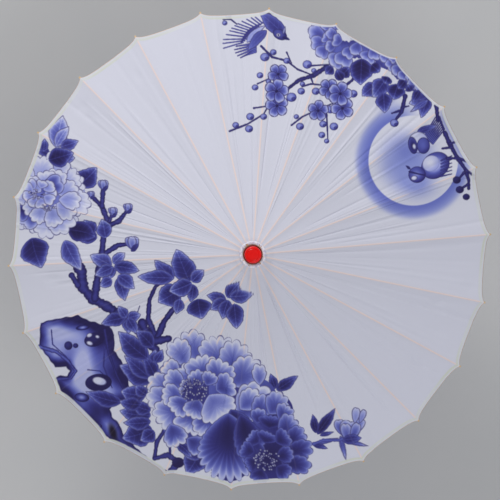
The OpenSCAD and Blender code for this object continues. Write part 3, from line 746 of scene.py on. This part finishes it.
def cloth_colours(points, to_rim, peach):
    """Linear colours: print, a peach line where the cloth is over a rib, and the hem's band and edge."""
    colour, ink = print_at(points)
    azimuth = np.arctan2(points[..., 1], points[..., 0])
    band = smooth((hem_width(azimuth) - to_rim) / HEM_BLUR + 0.5)[..., None]
    colour = colour + (PEACH - colour) * (peach * (1 - 0.93 * ink))[..., None]
    patchy = 0.5 + 0.5 * np.sin(azimuth * 17) * np.sin(azimuth * 5.3 + 1)
    hem = HEM_WHITE + (HEM_GREEN - HEM_WHITE) * (patchy * smooth((to_rim - 0.002) / 0.004))[..., None]
    colour = colour + (hem - colour) * band * 0.92
    border = smooth((EDGE_WIDTH - to_rim) / EDGE_BLUR)[..., None]
    colour = colour + (EDGE_ORANGE - colour) * border
    return np.clip(to_linear(colour) * SEEN_TO_CLOTH, 0, PALEST)


def grid_mesh(name, points, colours, uv):
    """A sheet of quads from grids of points, colours and lengths along and across the cloth."""
    r, c = points.shape[:2]
    at = np.arange(r * c).reshape(r, c)
    quads = np.stack([at[:-1, :-1], at[:-1, 1:], at[1:, 1:], at[1:, :-1]], -1).reshape(-1, 4)
    mesh = bpy.data.meshes.new(name)
    mesh.vertices.add(r * c)
    mesh.vertices.foreach_set("co", points.reshape(-1).astype(np.float32))
    mesh.loops.add(quads.size)
    mesh.loops.foreach_set("vertex_index", quads.reshape(-1).astype(np.int32))
    mesh.polygons.add(len(quads))
    mesh.polygons.foreach_set("loop_start", np.arange(0, quads.size, 4, dtype=np.int32))
    mesh.polygons.foreach_set("use_smooth", np.ones(len(quads), bool))
    mesh.update(calc_edges=True)
    if colours is not None:
        layer = mesh.color_attributes.new("print", "FLOAT_COLOR", "POINT")
        rgba = np.concatenate([colours.reshape(-1, 3), np.ones((r * c, 1))], 1)
        layer.data.foreach_set("color", rgba.reshape(-1).astype(np.float32))
    lengths = mesh.uv_layers.new(name="lengths")
    lengths.data.foreach_set("uv", uv.reshape(-1, 2)[quads.reshape(-1)].reshape(-1).astype(np.float32))
    obj = bpy.data.objects.new(name, mesh)
    bpy.context.scene.collection.objects.link(obj)
    return obj


# ---------------- materials


class Nodes:
    """A material's nodes, with short ways to add and join them."""

    def __init__(self, name):
        self.material = bpy.data.materials.new(name)
        self.material.use_nodes = True
        self.tree = self.material.node_tree
        self.shader = self.tree.nodes["Principled BSDF"]
        self.out = self.tree.nodes["Material Output"]

    def add(self, kind, **values):
        node = self.tree.nodes.new(kind)
        for key, value in values.items():
            if key in node.inputs:
                node.inputs[key].default_value = value
            else:
                setattr(node, key, value)
        return node

    def join(self, a, b, name):
        self.tree.links.new(a, b.inputs[name])

    def set(self, values):
        for name, value in values.items():
            self.shader.inputs[name].default_value = value

    def place(self):
        return self.add("ShaderNodeTexCoord").outputs["Object"]

    def noise(self, scale, detail):
        node = self.add("ShaderNodeTexNoise", Scale=scale, Detail=detail)
        self.join(self.place(), node, "Vector")
        return node.outputs[0]

    def math(self, operation, a, b=0.0):
        node = self.tree.nodes.new("ShaderNodeMath")
        node.operation = operation
        for i, v in enumerate((a, b)):
            if isinstance(v, (int, float)):
                node.inputs[i].default_value = v
            else:
                self.tree.links.new(v, node.inputs[i])
        return node.outputs[0]

    def bump(self, height, strength, distance, after=None):
        node = self.add("ShaderNodeBump", Strength=strength, Distance=distance)
        self.join(height, node, "Height")
        if after is not None:
            self.join(after, node, "Normal")
        self.join(node.outputs["Normal"], self.shader, "Normal")
        return node.outputs["Normal"]

    def ramp(self, factor, low, high, start, end):
        node = self.tree.nodes.new("ShaderNodeValToRGB")
        node.color_ramp.elements[0].position = start
        node.color_ramp.elements[1].position = end
        node.color_ramp.elements[0].color = (*low, 1)
        node.color_ramp.elements[1].color = (*high, 1)
        self.tree.links.new(factor, node.inputs[0])
        return node.outputs["Color"]

    def spread(self, factor, low, high):
        node = self.tree.nodes.new("ShaderNodeMapRange")
        self.tree.links.new(factor, node.inputs[0])
        node.inputs["To Min"].default_value = low
        node.inputs["To Max"].default_value = high
        return node.outputs[0]


def linear(r, g, b):
    return tuple(float(v) for v in to_linear(np.array((r, g, b)) / 255))


THREAD_PITCH = 0.00042
SHINE_THROUGH = 0.12                # share of the light that the cloth lets through


def weave(m, vector):
    """Warp and weft, from lengths in metres along the cloth."""
    split = m.add("ShaderNodeSeparateXYZ")
    m.join(vector, split, "Vector")
    turns = TAU / THREAD_PITCH
    warp = m.math("SINE", m.math("MULTIPLY", split.outputs[0], turns))
    weft = m.math("SINE", m.math("MULTIPLY", split.outputs[1], turns))
    return m.math("MULTIPLY", warp, weft)


def cloth_material():
    m = Nodes("canopy_cloth")
    colour = m.add("ShaderNodeVertexColor", layer_name="print").outputs["Color"]
    m.join(colour, m.shader, "Base Color")
    m.join(m.spread(m.noise(160.0, 3.0), 0.62, 0.8), m.shader, "Roughness")
    lengths = m.add("ShaderNodeUVMap", uv_map="lengths").outputs[0]
    threads = m.bump(weave(m, lengths), 0.25, 0.00005)
    m.bump(m.noise(38.0, 2.0), 0.22, 0.0012, threads)
    m.set({"Specular IOR Level": 0.14, "Sheen Weight": 0.04, "Sheen Roughness": 0.5})
    through = m.add("ShaderNodeBsdfTranslucent")
    m.join(colour, through, "Color")
    mix = m.add("ShaderNodeMixShader")
    mix.inputs[0].default_value = SHINE_THROUGH
    m.join(m.shader.outputs[0], mix, 1)
    m.join(through.outputs[0], mix, 2)
    m.join(mix.outputs[0], m.out, "Surface")
    return m.material


def fibre_material(name, dark, light, around, along, rough, coat, radial):
    """Wood or bamboo, with streaks along the part: radial parts run out from the shaft, others along it."""
    m = Nodes(name)
    split = m.add("ShaderNodeSeparateXYZ")
    m.join(m.place(), split, "Vector")
    x, y, z = split.outputs
    radius = m.math("SQRT", m.math("ADD", m.math("MULTIPLY", x, x), m.math("MULTIPLY", y, y)))
    grain = m.add("ShaderNodeCombineXYZ")
    if radial:
        azimuth = m.math("SUBTRACT", m.math("ARCTAN2", y, x), FIRST_RIB - STEP / 2)
        turn = m.math("FLOORED_MODULO", azimuth, STEP)
        across = m.math("MULTIPLY", m.math("SUBTRACT", turn, STEP / 2), radius)
        m.join(m.math("MULTIPLY", across, around), grain, "X")
        m.join(m.math("MULTIPLY", radius, along), grain, "Y")
        m.join(m.math("MULTIPLY", m.math("ARCTAN2", y, x), 3.0), grain, "Z")
    else:
        m.join(m.math("MULTIPLY", x, around), grain, "X")
        m.join(m.math("MULTIPLY", y, around), grain, "Y")
        m.join(m.math("MULTIPLY", z, along), grain, "Z")
    streaks = m.add("ShaderNodeTexNoise", Scale=1.0, Detail=5.0, Roughness=0.6)
    m.join(grain.outputs[0], streaks, "Vector")
    m.join(m.ramp(streaks.outputs[0], dark, light, 0.34, 0.68), m.shader, "Base Color")
    m.join(m.spread(streaks.outputs[0], rough, rough + 0.2), m.shader, "Roughness")
    m.bump(streaks.outputs[0], 0.3, 0.00015)
    m.set({"Coat Weight": coat, "Coat Roughness": 0.25})
    return m.material


def hard_material(name, low, high, scale, rough, metallic=0.0, coat=0.0, bump=0.1):
    m = Nodes(name)
    grain = m.noise(scale, 4.0)
    m.join(m.ramp(grain, low, high, 0.35, 0.65), m.shader, "Base Color")
    m.join(m.spread(grain, rough, rough + 0.14), m.shader, "Roughness")
    m.bump(grain, bump, 0.0001)
    m.set({"Metallic": metallic, "Coat Weight": coat, "Coat Roughness": 0.12})
    return m.material


def collar_material():
    m = Nodes("collar_cloth")
    patch = m.noise(210.0, 4.0)
    tint = m.ramp(patch, linear(196, 190, 214), linear(244, 243, 250), 0.35, 0.6)
    m.join(tint, m.shader, "Base Color")
    m.join(m.spread(patch, 0.7, 0.9), m.shader, "Roughness")
    threads = m.bump(weave(m, m.place()), 0.3, 0.00006)
    m.bump(patch, 0.5, 0.0006, threads)
    m.set({"Sheen Weight": 0.1})
    return m.material


CLOTH = cloth_material()
COLLAR = collar_material()
LACQUER = hard_material("red_lacquer", linear(232, 4, 0), linear(244, 8, 1), 60.0, 0.3, coat=0.3, bump=0.03)
# a darker red lacquer: painted shade on the cap's neck and flange
SHADED_LACQUER = hard_material("lacquer_painted_shade", linear(96, 4, 8), linear(132, 8, 12), 300.0, 0.45, coat=0.05)
for lacquer in (LACQUER, SHADED_LACQUER):
    lacquer.node_tree.nodes["Principled BSDF"].inputs["Specular IOR Level"].default_value = 0.16
STEEL = hard_material("steel_wire", (0.36, 0.35, 0.33), (0.52, 0.51, 0.49), 900.0, 0.3, metallic=1.0)
SPRING = hard_material("spring_steel", (0.22, 0.22, 0.23), (0.36, 0.36, 0.37), 700.0, 0.34, metallic=1.0)
THREAD = hard_material("thread", (0.55, 0.5, 0.42), (0.8, 0.76, 0.68), 2500.0, 0.85, bump=0.5)
# name, darkest and palest colour, grain across and along, roughness, coat, whether it is a radial part
RIB, STRETCHER, SHAFT, HANDLE, HUB = (fibre_material(*looks) for looks in (
    ("rib_bamboo", linear(196, 160, 112), linear(230, 202, 156), 1500.0, 22.0, 0.42, 0.15, True),
    ("stretcher_bamboo", linear(186, 148, 98), linear(222, 190, 142), 1500.0, 26.0, 0.46, 0.1, True),
    ("shaft_wood", linear(178, 132, 84), linear(214, 174, 122), 520.0, 12.0, 0.36, 0.35, False),
    ("handle_wood", linear(120, 62, 32), linear(168, 98, 54), 380.0, 9.0, 0.28, 0.6, False),
    ("hub_wood", linear(184, 142, 96), linear(216, 180, 134), 620.0, 30.0, 0.5, 0.1, False)))

FINISH = {"rib": RIB, "stretcher": STRETCHER, "shaft": SHAFT, "handle_grip": HANDLE,
          "handle_end_cap": LACQUER, "top_notch": HUB, "runner": HUB, "notch_wire": STEEL,
          "runner_wire": STEEL, "latch_spring": SPRING, "latch_pin": STEEL, "stop_pin": STEEL}
# how wide a part's edges are eased, and over what angle
EASED = {"shaft": 0.0003, "handle_grip": 0.0007, "handle_end_cap": 0.0008, "top_notch": 0.0003,
         "runner": 0.0003, "rib": 0.0003, "stretcher": 0.00025}
EASED_OVER = math.radians(35)

for name, node in frame["nodes"].items():
    kind = name.rsplit("_", 1)[0] if name.startswith(("rib_", "stretcher_")) else name
    if kind not in FINISH:
        continue
    node.data.materials.clear()
    node.data.materials.append(FINISH[kind])
    if kind in EASED:
        bevel = node.modifiers.new("eased edges", "BEVEL")
        bevel.width = EASED[kind]
        bevel.segments = 2
        bevel.limit_method = "ANGLE"
        bevel.angle_limit = EASED_OVER
        bevel.harden_normals = False

# ---------------- cloth, in pieces that ride on the ribs
panels = [Panel(k) for k in range(RIBS)]
CLOTH_LEN = CLOTH_END - CLOTH_START
HALF_AT_RIM = CANOPY_R * ACROSS - STRIP_HALF
UNDER_ROWS = 3
FOLD_SHADE = 0.9                    # the hem's fold is darker than the rest of it
THREAD_FROM = 0.985                 # the rim thread starts this close to a rib, which is at 1


def beside(k, side):
    """The panel beside rib k: after it for side 1, before it for side -1."""
    return panels[k if side == 1 else (k - 1) % RIBS]


def half_name(kind, k, side):
    return f"{kind}_{k + 1:02d}_{'a' if side == 1 else 'b'}"


def half_gore(k, side):
    """The cloth from rib k's glued strip to the middle of the panel beside it."""
    panel = beside(k, side)
    share = rows(panel.fine)
    count = int(HALF_AT_RIM / (FINE if panel.fine else COARSE))
    t = np.linspace(0, 1, count + 1)
    s_row = CLOTH_START + share * CLOTH_LEN
    half = half_width(s_row)
    inner = 1 - STRIP_HALF / half
    x = -side * inner[:, None] * (1 - t[None, :])
    s = CLOTH_START + share[:, None] * (cloth_end(x) - CLOTH_START)
    points = panel.at(s, x)
    to_rim = cloth_end(x) - s
    uv = np.stack([half[:, None] * x, s], -1)
    colours = cloth_colours(points, to_rim, np.zeros(s.shape))
    under_s = s[-1:] - np.linspace(0.1, 1, UNDER_ROWS)[:, None] * HEM
    under_x = np.repeat(x[-1:], UNDER_ROWS, 0)
    under = panel.at(under_s, under_x) - panel.normal * HEM_UNDER
    hem = np.tile(to_linear(HEM_WHITE), (UNDER_ROWS, count + 1, 1))
    hem[0] *= FOLD_SHADE
    colours = np.concatenate([colours, hem])
    points = np.concatenate([points, under])
    uv = np.concatenate([uv, np.stack([half[-1] * under_x, under_s], -1)])
    if side == -1:
        points, colours, uv = points[:, ::-1], colours[:, ::-1], uv[:, ::-1]
    obj = grid_mesh(half_name("cloth", k, side), points, colours, uv)
    obj.data.materials.append(CLOTH)
    at_rim = float(half[-1] - STRIP_HALF)
    area = float(np.sum((half[1:] + half[:-1] - 2 * STRIP_HALF) / 2 * np.diff(s_row))) + at_rim * HEM
    return obj, (at_rim, CLOTH_LEN + HEM), area


ANCHOR_AT = 0.2                     # along the rib, at the glued strip's edge; pleat takes its anchor there but does not use it


def pleat(obj, k, side):
    """Gives a half gore its own copy of its mesh; the anchor beside its rib is worked out but not used, and
    nothing is folded.
    """
    s = np.array([ANCHOR_AT])
    anchor = beside(k, side).at(s, -side * (1 - STRIP_HALF / half_width(s)))[0]
    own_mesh(obj)


STRIP_PLACES = (-1.0, -0.72, -0.42, -0.2, 0.0, 0.2, 0.42, 0.72, 1.0)     # across the strip, edge to edge
RIDGE_HALF = 0.75                   # half widths of the ridge and of its peach line, in half strips
PEACH_HALF = 0.55
RIDGE_START = 0.01                  # the ridge comes up over this length from the hub


def rib_strip(k):
    """The cloth glued along a rib, with its ridge."""
    before, after = beside(k, -1), beside(k, 1)
    share = rows(before.fine or after.fine)
    strip = STRIP_HALF / half_width(CLOTH_START + share * CLOTH_LEN)
    up = np.array(Vector(straight_out(FIRST_RIB + k * STEP)))
    columns = []
    for q in STRIP_PLACES:
        panel, x = (before, 1 + strip * q) if q < 0 else (after, -1 + strip * q)
        s = CLOTH_START + share * (cloth_end(x) - CLOTH_START)
        ridge = 1 - smooth(np.array(abs(q) / RIDGE_HALF))
        lift = RIDGE_LIFT * ridge * smooth((s - CLOTH_START) / RIDGE_START)
        columns.append((panel.at(s, x) + lift[:, None] * up, cloth_end(x) - s, s))
    points, to_rim, s = (np.stack(column, 1) for column in zip(*columns))
    places = np.array(STRIP_PLACES)
    peach = np.broadcast_to(np.exp(-(places / PEACH_HALF) ** 2), s.shape)
    uv = np.stack([np.broadcast_to(places * STRIP_HALF, s.shape), s], -1)
    colours = cloth_colours(points, to_rim, peach)
    obj = grid_mesh(f"cloth_strip_{k + 1:02d}", points, colours, uv)
    obj.data.materials.append(CLOTH)
    return obj


THREAD_R = 0.00018
THREAD_IN = 0.0035                  # how far inside the rim it runs
THREAD_POINTS = 12
THREAD_SIDES = 6


def thread_run(k, side):
    """The rim thread inside the hem, from a rib's tip to the middle of the panel."""
    panel = beside(k, side)
    x = -side * np.linspace(THREAD_FROM, 0, THREAD_POINTS)
    line = panel.at(cloth_end(x) - THREAD_IN, x) - panel.normal * HEM_UNDER * 0.5
    along = np.gradient(line, axis=0)
    along /= np.linalg.norm(along, axis=1)[:, None]
    out = np.cross(along, panel.normal)
    turns = np.linspace(0, TAU, THREAD_SIDES + 1)
    c, s = np.cos(turns)[None, :, None], np.sin(turns)[None, :, None]
    ring = line[:, None] + THREAD_R * (c * panel.normal + s * out[:, None])
    uv = np.stack(np.meshgrid(turns, x), -1)
    obj = grid_mesh(half_name("rim_thread", k, side), ring, None, uv)
    obj.data.materials.append(THREAD)
    return obj


cloth_pieces, thread_pieces = [], []
for k in range(RIBS):
    body = f"rib_{k + 1:02d}"
    strip = rib_strip(k)
    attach(strip, body)
    cloth_pieces.append(strip)
    for side in (1, -1):
        gore, flat, area = half_gore(k, side)
        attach(gore, body)
        pleat(gore, k, side)
        cloth_pieces.append(gore)
        thread = thread_run(k, side)
        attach(thread, body)
        pleat(thread, k, side)
        thread_pieces.append(thread)
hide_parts("canopy")
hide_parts("rim_thread")

# ---------------- collar: cloth tape wound round the notch
COLLAR_PROFILE = (                  # radius and height, from the foot over the fold into the mouth
    (0.02215, 0.47965), (0.0226, 0.4806), (0.0226, 0.4825), (0.0226, 0.4845), (0.0226, 0.4866),
    (0.0225, 0.4883), (0.0221, 0.4899), (0.0213, 0.4910), (0.0202, 0.4915), (0.0191, 0.4916),
    (0.0179, 0.4914), (0.0161, 0.4911), (0.0161, 0.4903), (0.0178, 0.4900), (0.0192, 0.4901))
COLLAR_TURNS = 176                  # faces round the collar
FOLD_WAVES = (5, 7, 11, 16, 23)     # waves round the tape
RAGGED_WAVES = (9, 17, 29, 41)      # and round its frayed edge
PINCHES = 13
PINCH_WIDTH = 0.035                 # radians
FOLD_IN = 0.00025                   # how deep folds and pinches go into the side
PINCH_IN = 0.0005
FOLD_DOWN = 0.00022                 # and down into the top
PINCH_DOWN = 0.0006
FRAY = 0.0004                       # how far the frayed edge goes in and out
collar_lo, collar_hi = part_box("collar")


def collar_piece():
    rng = np.random.default_rng(77)
    a = np.linspace(0, TAU, COLLAR_TURNS + 1)
    profile = np.array(COLLAR_PROFILE)
    r = np.repeat(profile[:, :1], len(a), 1)
    z = np.repeat(profile[:, 1:], len(a), 1)
    folds = sum(np.sin(n * a + rng.uniform(0, TAU)) * rng.uniform(0.3, 1) for n in FOLD_WAVES) / 3
    pinches = sum(np.exp(-(((a - c + math.pi) % TAU - math.pi) / PINCH_WIDTH) ** 2)
                  for c in rng.uniform(0, TAU, PINCHES))
    ragged = sum(np.sin(n * a + rng.uniform(0, TAU)) * rng.uniform(0.3, 1) for n in RAGGED_WAVES) / 3
    level = np.linspace(0, 1, len(profile))[:, None]
    side = np.sin(math.pi * np.clip(level / 0.55, 0, 1))
    top = np.exp(-((level - 0.62) / 0.16) ** 2)
    r = r - side * (FOLD_IN * (1 + folds) + PINCH_IN * pinches)
    z = z - top * (FOLD_DOWN * (1 + folds) + PINCH_DOWN * pinches)
    mouth = smooth((level - 0.68) / 0.12)
    r = r + mouth * (FRAY * (1 + ragged) + PINCH_DOWN * pinches)
    points = np.stack([r * np.cos(a), r * np.sin(a), np.clip(z, collar_lo.z, collar_hi.z)], -1)
    points[:, -1] = points[:, 0]
    uv = np.stack([np.broadcast_to(a * 0.02, r.shape), np.broadcast_to(level * 0.02, r.shape)], -1)
    obj = grid_mesh("collar_tape", points[::-1], None, uv[::-1])
    obj.data.materials.append(COLLAR)
    return obj


tape = collar_piece()
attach(tape, "root")
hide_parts("collar")

# ---------------- cap: turned wood under red lacquer, with painted shade on its neck and flange
cap_lo, cap_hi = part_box("top_cap")
CAP_TURNS = 96                      # faces round the cap
CAP_SHOULDER_R = 0.0032
CAP_SIDE_R = 0.0139
CAP_FLANGE_TOP = 0.4936
CAP_SHADED_ROWS = 8                    # rows of faces, from the bottom, that have the darker lacquer: painted shade on the neck and flange
CAP_FACE = ((0.00001, 0.0), (0.0084, 0.0), (0.0091, 0.0001), (0.0096, 0.0009), (0.0101, 0.0010),
            (0.0106, 0.0002))       # radius, and depth under the cap's top
CAP_NECK = (0.0142, 0.4985)         # radius and height


def cap_piece():
    top, low = cap_hi.z, cap_lo.z
    profile = [(r, top - depth) for r, depth in CAP_FACE]
    for q in np.linspace(0.1, math.pi / 2, 9):
        profile.append((CAP_SIDE_R - CAP_SHOULDER_R * (1 - math.sin(q)),
                        top - CAP_FACE[-1][1] - CAP_SHOULDER_R * (1 - math.cos(q))))
    profile += [CAP_NECK, (0.0144, CAP_FLANGE_TOP + 0.0004), (0.0146, CAP_FLANGE_TOP),
                (0.0156, CAP_FLANGE_TOP), (0.0160, CAP_FLANGE_TOP - 0.0004), (0.0160, low + 0.0003),
                (0.0157, low), (0.0062, low)]
    a = np.linspace(0, TAU, CAP_TURNS + 1)
    r, z = (np.repeat(np.array(column)[:, None], len(a), 1) for column in zip(*profile))
    points = np.stack([r * np.cos(a), r * np.sin(a), z], -1)
    points[:, -1] = points[:, 0]
    obj = grid_mesh("cap_turned", points, None, np.stack([r, z], -1))
    obj.data.materials.append(LACQUER)
    obj.data.materials.append(SHADED_LACQUER)
    # the lowest rows, the neck and the flange, get the darker red: painted shade
    first = (len(profile) - CAP_SHADED_ROWS) * CAP_TURNS
    for quad in obj.data.polygons[first:]:
        quad.material_index = 1
    return obj


cap = cap_piece()
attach(cap, "root")
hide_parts("top_cap")

# ---------------- floor, light and camera
FLOOR_GAP = 0.003
FLOOR_HALF = 6.0


def floor():
    low, high = -FLOOR_HALF, FLOOR_HALF
    z = cad_box[0].z - FLOOR_GAP
    corners = np.array([[(low, low, z), (high, low, z)], [(low, high, z), (high, high, z)]])
    obj = grid_mesh("floor", corners, None, np.zeros((2, 2, 2)))
    obj.data.materials.append(hard_material("floor", (0.525, 0.53, 0.535), (0.54, 0.542, 0.545), 6.0, 0.8))


floor()


CANOPY_MIDDLE = Vector((0, 0, 0.315))
LIGHTS = (                          # name, place, size, power in watts, colour
    ("key", (-1.4, 3.5, 2.3), 1.3, 92, (1.0, 0.985, 0.965)),
    ("fill", (1.5, -1.9, 3.6), 2.2, 34, (0.97, 0.98, 1.0)),
    ("low", (0.4, -3.0, 0.5), 2.0, 16, (1.0, 0.98, 0.96)))
for name, place, size, power, colour in LIGHTS:
    data = bpy.data.lights.new(name, "AREA")
    data.size = size
    data.energy = power
    data.color = colour
    lamp = bpy.data.objects.new(name, data)
    lamp.location = place
    lamp.rotation_mode = "QUATERNION"
    lamp.rotation_quaternion = (CANOPY_MIDDLE - Vector(place)).to_track_quat("-Z", "Y")
    bpy.context.scene.collection.objects.link(lamp)

world = bpy.data.worlds.new("room")
world.use_nodes = True
sky = world.node_tree.nodes["Background"]
sky.inputs["Color"].default_value = (0.95, 0.965, 1.0, 1)
sky.inputs["Strength"].default_value = 0.45
bpy.context.scene.world = world
bpy.context.scene.view_settings.view_transform = "Standard"
bpy.context.scene.view_settings.look = "None"

CAMERA_AWAY = 4.0
CAMERA_ROLL = math.radians(4.45)
CAMERA_LEAN = Vector((-0.0265, 0.043, 1.0))
VIEW_WIDTH = 0.868                  # metres across the picture at the canopy's middle
SENSOR = 36

right = Vector((math.cos(CAMERA_ROLL), math.sin(CAMERA_ROLL), 0))
above = Vector((-math.sin(CAMERA_ROLL), math.cos(CAMERA_ROLL), 0))
back = (Vector((0, 0, 1)) + right * CAMERA_LEAN.x + above * CAMERA_LEAN.y).normalized()
side_axis = (right - back * right.dot(back)).normalized()
up_axis = back.cross(side_axis)
camera = bpy.data.objects.new("camera", bpy.data.cameras.new("camera"))
camera.data.sensor_width = SENSOR
camera.data.lens = SENSOR * CAMERA_AWAY / VIEW_WIDTH
camera.data.clip_end = 30
camera.matrix_world = Matrix.Translation(CANOPY_MIDDLE + back * CAMERA_AWAY) @ Matrix(
    (side_axis, up_axis, back)).transposed().to_4x4()
bpy.context.scene.collection.objects.link(camera)
bpy.context.scene.camera = camera
